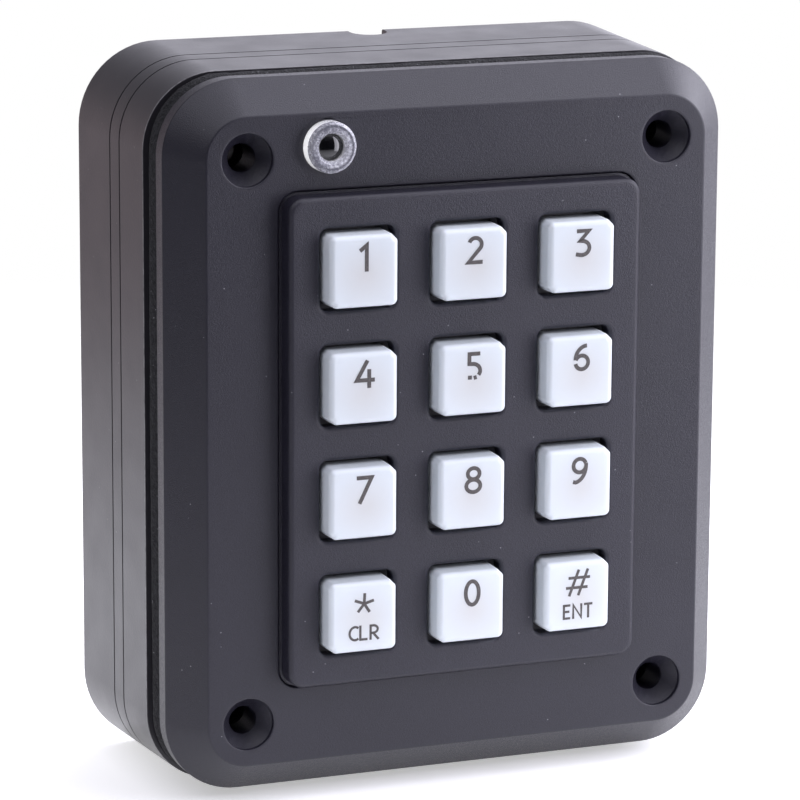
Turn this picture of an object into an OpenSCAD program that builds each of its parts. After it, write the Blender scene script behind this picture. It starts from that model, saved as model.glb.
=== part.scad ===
// Wall-mounted keypad access reader: a raised twelve-key keypad in a chamfered
// cover, on a rear housing that four long screws hold to the wall.
// Millimetres, +Z up, front towards -Y. The origin is the centre of the wall face.
// Depths below are distances from the wall, measured towards the front.

/* [Keypad] */
// Distance between the centres of two neighbouring keys
key_pitch = 19.05; // [16:0.05:24]
// Side of the square keycap
key_size = 12; // [10:0.1:14]
// Size of the cut across two opposite keycap corners
key_cut = 1.2; // [0.5:0.1:2]
// Corner radius of the keycap's other two corners
key_corner_r = 0.9; // [0.4:0.1:1.5]
// Gap between a keycap and its aperture
key_gap = 0.9; // [0.5:0.1:1.5]
// How far a keycap stands out of the bezel
key_stand = 2.9; // [1.5:0.1:4]
// How far a key travels when it is pressed
key_travel = 1.1; // [0.5:0.1:2]
// Width of the lip that keeps a keycap behind the bezel
key_lip_w = 0.8; // [0.5:0.1:1.2]
// Thickness of that lip
key_lip_t = 1.2; // [0.8:0.1:2]
// Wall of the hollow keycap
key_wall = 1.5; // [1:0.1:2.5]
// Thickness of the keycap's face
key_face_t = 2.2; // [1.5:0.1:3]
// Radius of the keycap's stem
stem_r = 2; // [1.2:0.1:2.5]

/* [Keypad bezel] */
// Bezel border beside the outer apertures
bezel_border_x = 4.85; // [3:0.05:10]
// Bezel border above and below the outer apertures
bezel_border_z = 5; // [3:0.05:10]
// How far the bezel stands out of the cover's face
bezel_stand = 3.2; // [1:0.1:6]
// Thickness of the bezel's face
bezel_face_t = 3; // [2:0.1:5]
// Wall of the bezel's rim behind its face
bezel_rim_t = 1.8; // [1.2:0.1:3]
// Outer corner radius of the bezel
bezel_corner_r = 2.6; // [1:0.1:6]
// Width of the flange behind the cover
bezel_flange_w = 2.6; // [1.5:0.1:4]
// Thickness of that flange
bezel_flange_t = 1.8; // [1:0.1:3]
// Gap between the bezel and the cover's opening
bezel_gap = 0.6; // [0.3:0.1:1.2]

/* [Front cover] */
// Cover beside the bezel, from bezel to outer edge
land_x = 18.3; // [16:0.1:40]
// Cover above and below the bezel
land_z = 18.5; // [16:0.1:40]
// Outer corner radius of the cover
cover_corner_r = 12.4; // [10:0.1:16]
// Depth of the cover's straight lip
lip_d = 3.1; // [2:0.1:6]
// Width of the chamfer round the cover's face
chamfer_w = 5.4; // [3:0.1:7]
// Depth of that chamfer
chamfer_d = 5.9; // [4:0.1:8]
// Wall thickness of the cover
cover_wall = 3; // [2:0.1:4]

/* [Fixing holes] */
// Diameter of the clearance hole for the wall screws
hole_d = 4.7; // [3:0.1:6]
// Diameter of the countersink's mouth
sink_d = 8.6; // [6:0.1:11]
// Straight depth of the countersink before its cone
sink_step = 0.7; // [0:0.1:2]
// Full depth of the countersink
sink_depth = 3.1; // [2:0.1:5]
// Diameter of the screw pillars
pillar_d = 10; // [7:0.1:12]
// Clearance that boards, mat and bezel leave round the pillars
pillar_gap = 0.6; // [0.3:0.1:1.5]

/* [Gasket] */
// Thickness of the foam gasket
gasket_t = 4; // [1:0.1:6]
// How far the gasket is set in from the cover's edge
gasket_inset = 0.5; // [0:0.1:2]
// Width of the gasket's band
gasket_band = 5; // [3:0.1:6]
// Radius of the gasket's pads round the screw holes
gasket_pad_r = 7.5; // [7:0.1:9]

/* [Rear housing] */
// Depth of the rear housing
box_d = 30; // [22:0.1:60]
// How far the housing's front edge stands out beside the cover, each side
box_over_x = 0.8; // [0:0.1:2]
// How far it stands out above and below the cover
box_over_z = 0.3; // [0:0.1:2]
// How far each wall leans out from front to rear
box_draft = 1.3; // [0:0.1:2]
// Wall thickness of the housing
box_wall = 3; // [2:0.1:4]
// Thickness of the housing's wall plate
box_floor = 2.8; // [2:0.1:4]
// Distance of the rear groove from the wall
groove_at = 14.9; // [8:0.1:20]
// Distance between the two grooves
groove_gap = 4.3; // [2:0.1:8]
// Width and depth of each groove
groove_w = 0.35; // [0.2:0.05:1]
// Width of the cable notch and its channel
notch_w = 6.4; // [5:0.1:10]
// Depth of the cable notch from the wall face
notch_d = 5; // [4:0.1:8]
// Width of the cable entry in the wall plate
entry_w = 34; // [20:1:50]
// Height of the cable entry
entry_h = 24; // [16:1:40]

/* [Status light] */
// Outer diameter of the light ring
ring_d = 8.4; // [6:0.1:12]
// Inner diameter of the light ring
ring_bore_d = 4.5; // [3:0.1:8]
// How far the ring stands out of the cover's face
ring_stand = 2.1; // [0.5:0.1:4]
// Distance of the ring's centre inside the bezel's left edge
ring_from_side = 7.8; // [6:0.1:20]
// Gap between the light ring and the bezel's flange
ring_gap = 0.9; // [0.4:0.1:3]

/* [Boards] */
// Thickness of both circuit boards
pcb_t = 1.6; // [1:0.1:2.4]
// Thickness of the rubber key mat
mat_t = 1.2; // [0.8:0.1:2]
// Height of the standoffs between the two boards
standoff_h = 8; // [6:0.5:14]
// Width of the controller board
control_w = 66; // [60:1:70]
// Height of the controller board
control_h = 72; // [66:1:76]
// Number of poles of the terminal block
poles = 8; // [4:1:10]
// Thickness of the antenna coil's winding
coil_t = 1.8; // [1:0.1:2.5]
// Depth of the antenna coil's winding
coil_h = 2.5; // [1.5:0.1:4]
// Gap between the coil and the cover's wall
coil_wall_gap = 1.9; // [1:0.1:4]
// Gap between the coil and the screw pillars
coil_pillar_gap = 0.7; // [0.3:0.1:2]

/* [Hidden] */
$fn = 48;
hull_fn = 32;
eps = 0.01;
columns = 3;
rows = 4;

KEY_NAMES = ["1", "2", "3", "4", "5", "6", "7", "8", "9", "star", "0", "hash"];
KEYS = [for (k = KEY_NAMES) str("key_", k)];
PILLS = [for (k = KEY_NAMES) str("contact_pill_", k)];
CASE = ["rear_housing", "gasket", "front_cover", "keypad_bezel", "light_ring", "light_sensor"];
KEYPAD = ["keymat", "keypad_pcb", "contact_pads", "backlight_leds", "indicator_leds", "keypad_screws"];
CONTROL = ["board_standoffs", "controller_pcb", "standoff_screws", "board_connector", "terminal_block",
           "terminal_screws", "relay", "buzzer", "microcontroller", "reader_chip", "capacitors",
           "antenna_coil"];

// Plan sizes, from the keypad outwards
aperture = key_size + 2 * key_gap;
bezel_w = (columns - 1) * key_pitch + aperture + 2 * bezel_border_x;
bezel_h = (rows - 1) * key_pitch + aperture + 2 * bezel_border_z;
cover_w = bezel_w + 2 * land_x;
cover_h = bezel_h + 2 * land_z;
pillar_r = pillar_d / 2;
coil_inset = cover_wall + coil_wall_gap;
hole_inset = max(cover_corner_r, coil_inset + coil_t + coil_pillar_gap + pillar_r);
hole_x = cover_w / 2 - hole_inset;
hole_z = cover_h / 2 - hole_inset;
flange_w = bezel_w + 2 * bezel_flange_w;
flange_h = bezel_h + 2 * bezel_flange_w;
ring_x = ring_from_side - bezel_w / 2;
ring_z = flange_h / 2 + ring_gap + ring_d / 2;

// Depths, from the wall to the front
cover_rear = box_d + gasket_t;
lip_front = cover_rear + lip_d;
face = lip_front + chamfer_d;
cover_inner = face - cover_wall;
bezel_face = face + bezel_stand;
bezel_inner = bezel_face - bezel_face_t;
flange_rear = cover_inner - bezel_flange_t;
mat_rear = flange_rear - mat_t;
pcb_rear = mat_rear - pcb_t;
control_front = pcb_rear - standoff_h;
control_rear = control_front - pcb_t;
key_front = bezel_face + key_stand;
slide_gap = 0.1;
key_lip_front = bezel_inner - slide_gap;
key_lip_rear = key_lip_front - key_lip_t;
pad_t = 0.1;
pill_t = 0.6;
pill_rear = mat_rear + pad_t + key_travel + slide_gap;
pill_front = pill_rear + pill_t;
ring_rear = mat_rear + 0.8;

// Screws and pillars of the keypad board
post_r = 2.6;
post_gap = 0.4;
post_x = flange_w / 2 + post_gap + post_r;
post_pillar_gap = 5;
post_z = hole_z - pillar_r - post_pillar_gap - post_r;
post_edge = 0.6;
screw_r = 1.25;
screw_gap = 0.05;
keypad_pcb_w = 2 * (post_x + post_r + post_edge);
mat_inset = 0.2;
led_shift = 5.2;
dome_r = 4.2;
dome_wall = 0.8;
standoff_inset = 4;
standoff_r = 2.5;

// Extrude a flat shape from depth a to depth b
module slab(a, b) {
    translate([0, -a, 0]) rotate([90, 0, 0]) linear_extrude(b - a) children();
}

// Rod or cone from depth a to depth b
module rod(a, b, ra, rb = -1) {
    translate([0, -a, 0]) rotate([90, 0, 0])
        cylinder(h = b - a, r1 = ra, r2 = rb < 0 ? ra : rb);
}

module round_rect(w, h, r) {
    square([w - 2 * r, h], center = true);
    square([w, h - 2 * r], center = true);
    for (x = [-1, 1], z = [-1, 1])
        translate([x * (w / 2 - r), z * (h / 2 - r)]) circle(r);
}

// Copies at the four fixing holes
module at_holes() {
    for (x = [-1, 1], z = [-1, 1]) translate([x * hole_x, 0, z * hole_z]) children();
}

// Copies at the four fixing holes, in a flat shape
module at_holes_flat() {
    for (x = [-1, 1], z = [-1, 1]) translate([x * hole_x, z * hole_z]) children();
}

function key_x(i) = (i % columns - (columns - 1) / 2) * key_pitch;
function key_z(i) = ((rows - 1) / 2 - floor(i / columns)) * key_pitch;

module at_keys() {
    for (i = [0 : columns * rows - 1]) translate([key_x(i), 0, key_z(i)]) children();
}

module at_keys_flat() {
    for (i = [0 : columns * rows - 1]) translate([key_x(i), key_z(i)]) children();
}

// Tapered shell solid: corner radius ra at depth a, rb at depth b
module tapered(w, h, corner, a, b, ra, rb) {
    for (x = [-1, 1], z = [-1, 1])
        translate([x * (w / 2 - corner), 0, z * (h / 2 - corner)])
            rod(a, b, ra, rb, $fn = hull_fn);
}

// ---- Case ----

module rear_housing() {
    box_w = cover_w + 2 * box_over_x;
    box_h = cover_h + 2 * box_over_z;
    corner = cover_corner_r;
    inner = corner - box_wall;
    web_reach = hole_inset - box_wall / 2;
    rib_side = 2;
    rib_floor = 1.8;
    web_t = 2;
    channel_at = notch_d - notch_w / 2;
    color("#3a3a40") difference() {
        union() {
            difference() {
                hull() tapered(box_w, box_h, corner, 0, box_d, corner + box_draft, corner);
                hull() tapered(box_w, box_h, corner, box_floor, box_d + 1, inner, inner);
            }
            slab(1, box_d) intersection() {
                round_rect(box_w - box_wall, box_h - box_wall, corner - box_wall / 2);
                at_holes_flat() {
                    circle(pillar_r);
                    for (a = [0, 90]) rotate(a) square([2 * web_reach, web_t], center = true);
                }
            }
            slab(1, notch_d + rib_floor) translate([0, entry_h / 4 + cover_h / 4])
                square([notch_w + 2 * rib_side, cover_h / 2 - entry_h / 2], center = true);
        }
        at_holes() rod(-1, box_d + 1, hole_d / 2);
        slab(-1, notch_d + rib_floor + 1) round_rect(entry_w, entry_h, 4);
        translate([0, -channel_at, 0]) cylinder(h = cover_h, r = notch_w / 2);
        translate([-notch_w / 2, -channel_at, 0]) cube([notch_w, channel_at + 1, cover_h]);
        for (d = [groove_at, groove_at + groove_gap]) slab(d, d + groove_w) difference() {
            lean = 2 * box_draft * (1 - d / box_d) - 2 * groove_w;
            square([2 * box_w, 2 * cover_h], center = true);
            round_rect(box_w + lean, box_h + lean, corner);
        }
    }
}

module gasket() {
    outer_w = cover_w - 2 * gasket_inset;
    outer_h = cover_h - 2 * gasket_inset;
    outer_r = cover_corner_r - gasket_inset;
    hole_gap = 0.4;
    color("#17171a") slab(box_d, cover_rear) difference() {
        intersection() {
            round_rect(outer_w, outer_h, outer_r);
            union() {
                difference() {
                    round_rect(outer_w, outer_h, outer_r);
                    round_rect(outer_w - 2 * gasket_band, outer_h - 2 * gasket_band, outer_r - gasket_band);
                }
                at_holes_flat() circle(gasket_pad_r);
            }
        }
        at_holes_flat() circle(hole_d / 2 + hole_gap);
    }
}

module cover_post_places() {
    for (x = [-1, 1], z = [-1, 0, 1]) translate([x * post_x, 0, z * post_z]) children();
}

module front_cover() {
    corner = cover_corner_r;
    inner = corner - cover_wall;
    inner_turn = lip_front - 1.2;
    inner_front_r = inner - chamfer_w / chamfer_d * (cover_inner - inner_turn);
    ring_fit = 0.05;
    pilot_depth = 1.6;
    color("#2c2c31") difference() {
        union() {
            difference() {
                hull() {
                    tapered(cover_w, cover_h, corner, cover_rear, lip_front, corner, corner);
                    tapered(cover_w, cover_h, corner, lip_front, face, corner, corner - chamfer_w);
                }
                hull() {
                    tapered(cover_w, cover_h, corner, cover_rear - 1, inner_turn, inner, inner);
                    tapered(cover_w, cover_h, corner, inner_turn, cover_inner, inner, inner_front_r);
                }
            }
            at_holes() rod(cover_rear, cover_inner + 1, pillar_r);
            cover_post_places() rod(mat_rear, cover_inner + 1, post_r);
        }
        slab(cover_inner - 1, face + 1)
            round_rect(bezel_w + 2 * bezel_gap, bezel_h + 2 * bezel_gap, bezel_corner_r + bezel_gap);
        at_holes() rod(cover_rear - 1, face + 1, hole_d / 2);
        at_holes() rod(face - sink_step, face + 1, sink_d / 2);
        at_holes() rod(face - sink_depth, face - sink_step, hole_d / 2, sink_d / 2);
        cover_post_places() rod(mat_rear - 1, cover_inner + pilot_depth, screw_r + screw_gap);
        translate([ring_x, 0, ring_z]) rod(ring_rear - 1, face + 1, ring_d / 2 + ring_fit);
    }
}

module keypad_bezel() {
    aperture_r = 1;
    color("#34343a") difference() {
        union() {
            slab(flange_rear, bezel_face) round_rect(bezel_w, bezel_h, bezel_corner_r);
            slab(flange_rear, cover_inner) round_rect(flange_w, flange_h, bezel_corner_r + 1);
        }
        slab(flange_rear - 1, bezel_inner)
            round_rect(bezel_w - 2 * bezel_rim_t, bezel_h - 2 * bezel_rim_t, 1);
        slab(bezel_inner - 1, bezel_face + 1) at_keys_flat() round_rect(aperture, aperture, aperture_r);
        at_holes() rod(flange_rear - 1, cover_inner + eps, pillar_r + pillar_gap);
    }
}

module light_ring() {
    edge = 0.5;
    front = face + ring_stand;
    color("#dfe6ea") translate([ring_x, 0, ring_z]) difference() {
        union() {
            rod(ring_rear, front - edge, ring_d / 2);
            rod(front - edge, front, ring_d / 2, ring_d / 2 - edge);
        }
        rod(ring_rear - 1, front + 1, ring_bore_d / 2);
        rod(front - edge, front + eps, ring_bore_d / 2, ring_bore_d / 2 + edge);
    }
}

module light_sensor() {
    sensor_r = ring_bore_d / 2 - 0.1;
    dome_at = face + ring_stand - 0.7 - sensor_r;
    color("#08080a") translate([ring_x, 0, ring_z]) {
        rod(mat_rear, dome_at, sensor_r);
        intersection() {
            translate([0, -dome_at, 0]) sphere(sensor_r);
            rod(dome_at - eps, dome_at + 2 * sensor_r, 2 * sensor_r);
        }
    }
}

// ---- Keypad ----

module keycap(i) {
    half = key_size / 2;
    lip = aperture + 2 * key_lip_w;
    pocket = key_size - 2 * key_wall;
    color("#eef1f5") translate([key_x(i), 0, key_z(i)]) {
        difference() {
            union() {
                slab(key_lip_rear, key_front) difference() {
                    round_rect(key_size, key_size, key_corner_r);
                    for (a = [0, 180]) rotate(a)
                        polygon([[half - key_cut, half + 1], [half + 1, half + 1], [half + 1, half - key_cut],
                                 [half, half - key_cut], [half - key_cut, half]]);
                }
                slab(key_lip_rear, key_lip_front) round_rect(lip, lip, key_corner_r);
            }
            slab(key_lip_rear - 1, key_front - key_face_t) round_rect(pocket, pocket, key_corner_r);
        }
        rod(pill_front, key_front - key_face_t + eps, stem_r);
    }
}

module contact_pill(i) {
    color("#1c1c1f") translate([key_x(i), 0, key_z(i)]) rod(pill_rear, pill_front, stem_r);
}

module keymat() {
    dome_top = key_lip_rear - slide_gap / 2;
    dome_top_r = dome_r - 1;
    dome_roof = 0.9;
    mat_w = flange_w - 2 * mat_inset;
    mat_h = flange_h - 2 * mat_inset;
    led_window_r = 1.3;
    color("#c9ccd0") difference() {
        union() {
            slab(mat_rear, flange_rear) round_rect(mat_w, mat_h, bezel_corner_r);
            at_keys() rod(flange_rear - eps, dome_top, dome_r, dome_top_r);
        }
        at_keys() rod(mat_rear - 1, flange_rear, dome_r - dome_wall);
        at_keys() rod(flange_rear - eps, dome_top - dome_roof, dome_r - dome_wall, dome_top_r - dome_wall);
        at_keys() rod(flange_rear, dome_top + 1, stem_r + screw_gap);
        at_keys() translate([led_shift, 0, led_shift]) rod(mat_rear - 1, flange_rear + 1, led_window_r);
        at_holes() rod(mat_rear - 1, flange_rear + 1, pillar_r + pillar_gap);
    }
}

// Outline of the coil, grown or shrunk all round by one distance
module coil_outline(grow) {
    round_rect(cover_w - 2 * coil_inset + 2 * grow, cover_h - 2 * coil_inset + 2 * grow,
               cover_corner_r - coil_inset + grow);
}

module keypad_pcb() {
    tongue_w = ring_d + 2.6;
    coil_gap = 0.5;
    color("#1f6b3a") slab(pcb_rear, mat_rear) difference() {
        intersection() {
            union() {
                round_rect(keypad_pcb_w, flange_h, 1);
                translate([ring_x - tongue_w / 2, 0]) square([tongue_w, ring_z + ring_d / 2]);
            }
            coil_outline(-coil_t - coil_gap);
        }
        at_holes_flat() circle(pillar_r + pillar_gap);
        for (x = [-1, 1], z = [-1, 0, 1])
            translate([x * post_x, z * post_z]) circle(screw_r + screw_gap);
        at_standoffs_flat() circle(standoff_r - 0.8 + screw_gap);
    }
}

module contact_pads() {
    pad_r = 2.6;
    color("#c9a23a") at_keys() rod(mat_rear, mat_rear + pad_t, pad_r);
}

module led(w, h) {
    led_t = 0.6;
    slab(mat_rear, mat_rear + led_t) square([w, h], center = true);
}

module backlight_leds() {
    color("#f4edc0") at_keys() translate([led_shift, 0, led_shift]) led(1.6, 0.8);
}

module indicator_leds() {
    led_at = (ring_d + ring_bore_d) / 4;
    color("#f4edc0") translate([ring_x, 0, ring_z])
        for (a = [90, 210, 330]) rotate([0, a, 0]) translate([led_at, 0, 0]) led(0.8, 1.6);
}

// Pan-head screw whose head sits in front of or behind depth a
module rear_screw(a, length, r, head_r, head_t) {
    difference() {
        rod(a - head_t, a, head_r);
        rod(a - head_t - 1, a - head_t / 2, 0.9, $fn = 6);
    }
    rod(a - eps, a + length, r);
}

module keypad_screws() {
    head_r = 2.4;
    head_t = 1.7;
    length = 5.4;
    color("#b8bcc2") cover_post_places() rear_screw(pcb_rear, length, screw_r, head_r, head_t);
}

// ---- Controller ----

module at_standoffs_flat() {
    for (x = [-1, 1], z = [-1, 1])
        translate([x * (control_w / 2 - standoff_inset), z * (control_h / 2 - standoff_inset)]) children();
}

module at_standoffs() {
    for (x = [-1, 1], z = [-1, 1])
        translate([x * (control_w / 2 - standoff_inset), 0, z * (control_h / 2 - standoff_inset)]) children();
}

module board_standoffs() {
    stud_r = standoff_r - 0.8;
    bore_depth = 5.5;
    color("#c8a951") at_standoffs() difference() {
        union() {
            rod(control_front, pcb_rear, standoff_r, $fn = 6);
            rod(pcb_rear - eps, mat_rear, stud_r);
        }
        rod(control_front - 1, control_front + bore_depth, screw_r + screw_gap);
    }
}

module controller_pcb() {
    color("#1f6b3a") slab(control_rear, control_front) difference() {
        round_rect(control_w, control_h, 2);
        at_standoffs_flat() circle(screw_r + 0.2);
    }
}

module standoff_screws() {
    head_r = 2.3;
    head_t = 1.7;
    length = 6;
    color("#b8bcc2") at_standoffs() rear_screw(control_rear, length, screw_r, head_r, head_t);
}

module board_connector() {
    pin_pitch = 2.54;
    pins = 8;
    width = pins * pin_pitch;
    color("#202024") translate([0, 0, control_h / 2 - 6])
        slab(control_front, pcb_rear) difference() {
            square([width, 2 * pin_pitch], center = true);
            for (i = [0 : pins - 2], s = [-1, 1])
                translate([(i - pins / 2 + 1) * pin_pitch, s * pin_pitch]) circle(d = 0.8, $fn = 4);
        }
}

pole_pitch = 5.08;
terminal_z = 8;
terminal_d = 10;
terminal_at = 4;
terminal_screw_z = 5;

module terminal_block() {
    width = poles * pole_pitch;
    wire_w = 3.2;
    wire_h = 3.6;
    bottom = terminal_at - control_h / 2;
    color("#2f8f4e") translate([0, 0, bottom]) difference() {
        slab(control_rear - terminal_d, control_rear)
            translate([-width / 2, 0]) square([width, terminal_z]);
        for (i = [0 : poles - 1]) translate([(i - (poles - 1) / 2) * pole_pitch, 0, 0]) {
            translate([-wire_w / 2, 3 - control_rear, -1]) cube([wire_w, wire_h, 4.5]);
            translate([0, 0, terminal_screw_z]) rod(control_rear - terminal_d - 1, control_rear - 6, 1.9);
        }
    }
}

module terminal_screws() {
    bottom = terminal_at - control_h / 2;
    head_at = control_rear - terminal_d + 1;
    color("#b8bcc2") for (i = [0 : poles - 1])
        translate([(i - (poles - 1) / 2) * pole_pitch, 0, bottom + terminal_screw_z]) difference() {
            rod(head_at, control_rear - 6, 1.8);
            translate([-2, -head_at - 0.7, -0.3]) cube([4, 1, 0.6]);
        }
}

// Block on the rear side of the controller board, centred at x, z
module on_board(x, z, width, height, depth) {
    translate([x, 0, z]) slab(control_rear - depth, control_rear) square([width, height], center = true);
}

module relay() {
    color("#25509a") on_board(x = -19.5, z = 17.75, width = 19, height = 15.5, depth = 15);
}

module buzzer() {
    buzzer_r = 6;
    buzzer_d = 7.5;
    sound_hole_r = 1;
    color("#1d1d20") translate([18, 0, 20]) difference() {
        rod(control_rear - buzzer_d, control_rear, buzzer_r);
        rod(control_rear - buzzer_d - 1, control_rear - buzzer_d + 1.5, sound_hole_r);
    }
}

module microcontroller() {
    color("#26262a") on_board(x = 0, z = -6, width = 10, height = 10, depth = 1.4);
}

module reader_chip() {
    color("#26262a") on_board(x = 20, z = -4, width = 10.3, height = 7.5, depth = 2.2);
}

module capacitors() {
    can_r = 3.15;
    can_d = 8;
    color("#2b2f57") for (x = [-24, -15]) translate([x, 0, -8])
        rod(control_rear - can_d, control_rear, can_r);
}

module antenna_coil() {
    coil_front = ring_rear - 0.2;
    color("#a85b2a") slab(coil_front - coil_h, coil_front) difference() {
        coil_outline(0);
        coil_outline(-coil_t);
    }
}

rear_housing();
gasket();
front_cover();
keypad_bezel();
light_ring();
light_sensor();
keymat();
keypad_pcb();
contact_pads();
backlight_leds();
indicator_leds();
keypad_screws();
board_standoffs();
controller_pcb();
standoff_screws();
board_connector();
terminal_block();
terminal_screws();
relay();
buzzer();
microcontroller();
reader_chip();
capacitors();
antenna_coil();
for (i = [0 : len(KEYS) - 1]) {
    keycap(i);
    contact_pill(i);
}
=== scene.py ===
"""Looks of a wall-mounted keypad access reader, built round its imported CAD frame."""

import math

import bmesh
import bpy
from mathutils import Matrix, Vector, noise


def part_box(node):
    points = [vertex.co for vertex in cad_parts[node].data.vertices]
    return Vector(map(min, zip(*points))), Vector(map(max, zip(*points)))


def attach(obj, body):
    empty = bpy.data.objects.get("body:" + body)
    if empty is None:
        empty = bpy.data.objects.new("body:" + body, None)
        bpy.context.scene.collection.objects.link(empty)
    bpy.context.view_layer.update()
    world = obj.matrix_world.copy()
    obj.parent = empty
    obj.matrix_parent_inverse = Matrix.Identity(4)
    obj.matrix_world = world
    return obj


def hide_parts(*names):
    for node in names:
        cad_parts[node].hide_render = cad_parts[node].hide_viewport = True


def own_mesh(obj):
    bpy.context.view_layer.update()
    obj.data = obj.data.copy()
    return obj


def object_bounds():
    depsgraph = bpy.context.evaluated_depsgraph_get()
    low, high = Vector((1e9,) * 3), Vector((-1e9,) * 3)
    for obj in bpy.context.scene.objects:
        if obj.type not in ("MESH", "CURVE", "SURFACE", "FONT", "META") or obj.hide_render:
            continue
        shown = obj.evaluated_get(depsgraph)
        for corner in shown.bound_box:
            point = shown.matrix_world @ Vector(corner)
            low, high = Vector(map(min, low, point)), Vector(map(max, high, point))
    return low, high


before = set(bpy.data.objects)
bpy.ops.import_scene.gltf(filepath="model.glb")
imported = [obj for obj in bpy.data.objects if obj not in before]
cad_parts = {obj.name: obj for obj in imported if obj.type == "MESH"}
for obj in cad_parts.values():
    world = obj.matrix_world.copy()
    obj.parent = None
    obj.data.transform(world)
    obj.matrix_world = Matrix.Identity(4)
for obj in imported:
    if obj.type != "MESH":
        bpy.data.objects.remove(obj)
cad_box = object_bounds()
MM = 0.001
KEYS = ["1", "2", "3", "4", "5", "6", "7", "8", "9", "star", "0", "hash"]
WHITE = (1, 1, 1, 1)

# ---------------------------------------------------------------- places, in millimetres
# Plan positions are (x, z); depths are distances from the wall, towards the front.


class Place:
    """Where a CAD node is: half sizes and centre in plan, rear and front depth."""

    def __init__(self, node):
        lo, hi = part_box(node)
        self.hx = (hi.x - lo.x) / 2 / MM
        self.hz = (hi.z - lo.z) / 2 / MM
        self.x = (hi.x + lo.x) / 2 / MM
        self.z = (hi.z + lo.z) / 2 / MM
        self.rear = -hi.y / MM
        self.front = -lo.y / MM


COVER = Place("front_cover")
BEZEL = Place("keypad_bezel")
HOUSING = Place("rear_housing")
GASKET = Place("gasket")
RING = Place("light_ring")
SENSOR = Place("light_sensor")
MAT = Place("keymat")
CAPS = {k: Place("key_" + k) for k in KEYS}

# Shape values that no box gives. R is a radius, T a thickness, W a width, D a depth.

# Front cover and its countersunk holes
LIP_D = 3.1
CHAMFER_W = 5.4
COVER_R = 12.4
COVER_WALL = 3.0
INNER_TURN = 1.2  # the inner chamfer starts this far behind the outer one
INNER_CHAMFER_W = 3.75
MOUTH_GAP = 0.6
RING_GAP = 0.05
HOLE_R = 2.35
SINK_R = 4.3
SINK_STEP = 0.7
SINK_D = 3.1
PILLAR_R = 5.0
HOLE_INSET = 12.4

# Keypad bezel
BEZEL_R = 2.6
BEZEL_FACE_T = 3.0
BEZEL_WALL = 1.8
FLANGE_W = 2.6
FLANGE_T = 1.8
GROOVE_DEEP = 0.45  # the step in the gap round the bezel lies this far behind the cover's face
GROOVE_STEP_W = 0.5
APERTURE = (6.42, 6.75)  # half width and half height
APERTURE_R = 1.4

# Rear housing
BOX_OVER = (0.8, 0.3)  # how far its front edge stands out past the cover, across and up
BOX_DRAFT = 1.3
BOX_WALL = 3.0
BOX_FLOOR = 2.8
GROOVES = (14.9, 19.2)
GROOVE_W = 0.35
NOTCH_W = 6.4
NOTCH_D = 5.0
RIB_T = 2.0
ENTRY = (17.0, 12.0)  # half width and half height of the cable entry
WEB_NEAR = 3.5
WEB_FAR = 10.9
WEB_HALF = 1

# Gasket
PAD_BORE_R = 2.75
PAD_R = 7.5
FOAM_STEP = 0.9
FOAM_WIDE = 5
# (how far the foam's side stands out past the CAD gasket, distance in front of the gasket's rear face)
FOAM_SIDE = [(0.15, 0.02), (0.55, 0.25), (0.72, 0.7), (0.70, 1.2), (0.55, 1.7), (0.30, 2.2), (0.02, 2.7),
             (-0.30, 3.2), (-0.60, 3.7), (-0.75, 3.98)]

# Light ring and lens
RING_BORE_R = 2.25
RING_EDGE = 0.5
RING_LINE_R = 3.5
DOME_RISE = 0.55

# Keycaps and their legends
KEY_HALF = 6.0
KEY_CUT = 1.15
KEY_R = 1.15
CUT_R = 0.8
SKIRT_DEEP = 2.7  # the milky resin ends this far behind the bezel's face; behind it the cap is painted dark, as shade for the gap round the key
KEY_LIP_T = 1.2
KEY_SLIDE_GAP = 0.1
KEY_ROOF = 46.9  # depth of the roof of the hollow
KEY_POCKET = 4.5
STEM_R = 2
INK_BACK = 0.03  # the face lies this far behind the front of the ink
LEGEND_ASIDE = 0.1
DIGIT_W, SIGN_W, WORD_W = 0.66, 0.48, 0.40
SIGN_UP, WORD_UP = 2.3, -2.6
STROKE_T = 0.06
STROKE_STEP = 0.002  # each stroke lies this much behind the one before it, so none share a plane

# Key mat
MAT_T = 1.2
DOME_R = 4.15
DOME_TOP_R = 3.2
DOME_INNER_R = 3.4
DOME_ROOF_R = 2.4
DOME_ROOF = 0.9
STEM_HOLE_R = 2.1
LED_SHIFT = 5.2
LED_WINDOW_R = 1.3

HOLES = [(sx * (COVER.hx - HOLE_INSET), sz * (COVER.hz - HOLE_INSET)) for sx in (-1, 1) for sz in (-1, 1)]

# ---------------------------------------------------------------- outlines


def arc(cx, cz, rx, rz, start, end, n):
    """Points on an elliptical arc, angles in degrees."""
    turn = [math.radians(start + (end - start) * i / n) for i in range(n + 1)]
    return [(cx + rx * math.cos(a), cz + rz * math.sin(a)) for a in turn]


def circle(cx, cz, r, n=48):
    return arc(cx, cz, r, r, 0, 360, n)[:-1]


def turned(before, at, after, r, n):
    """Points of a corner rounded to radius r."""
    to_before = (before - at).normalized()
    to_after = (after - at).normalized()
    half = to_before.angle(to_after) / 2
    run = r / math.tan(half)
    middle = at + (to_before + to_after).normalized() * (r / math.sin(half))
    first = at + to_before * run - middle
    sweep = first.angle_signed(at + to_after * run - middle)
    return [middle + Matrix.Rotation(-sweep * i / n, 2) @ first for i in range(n + 1)]


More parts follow.
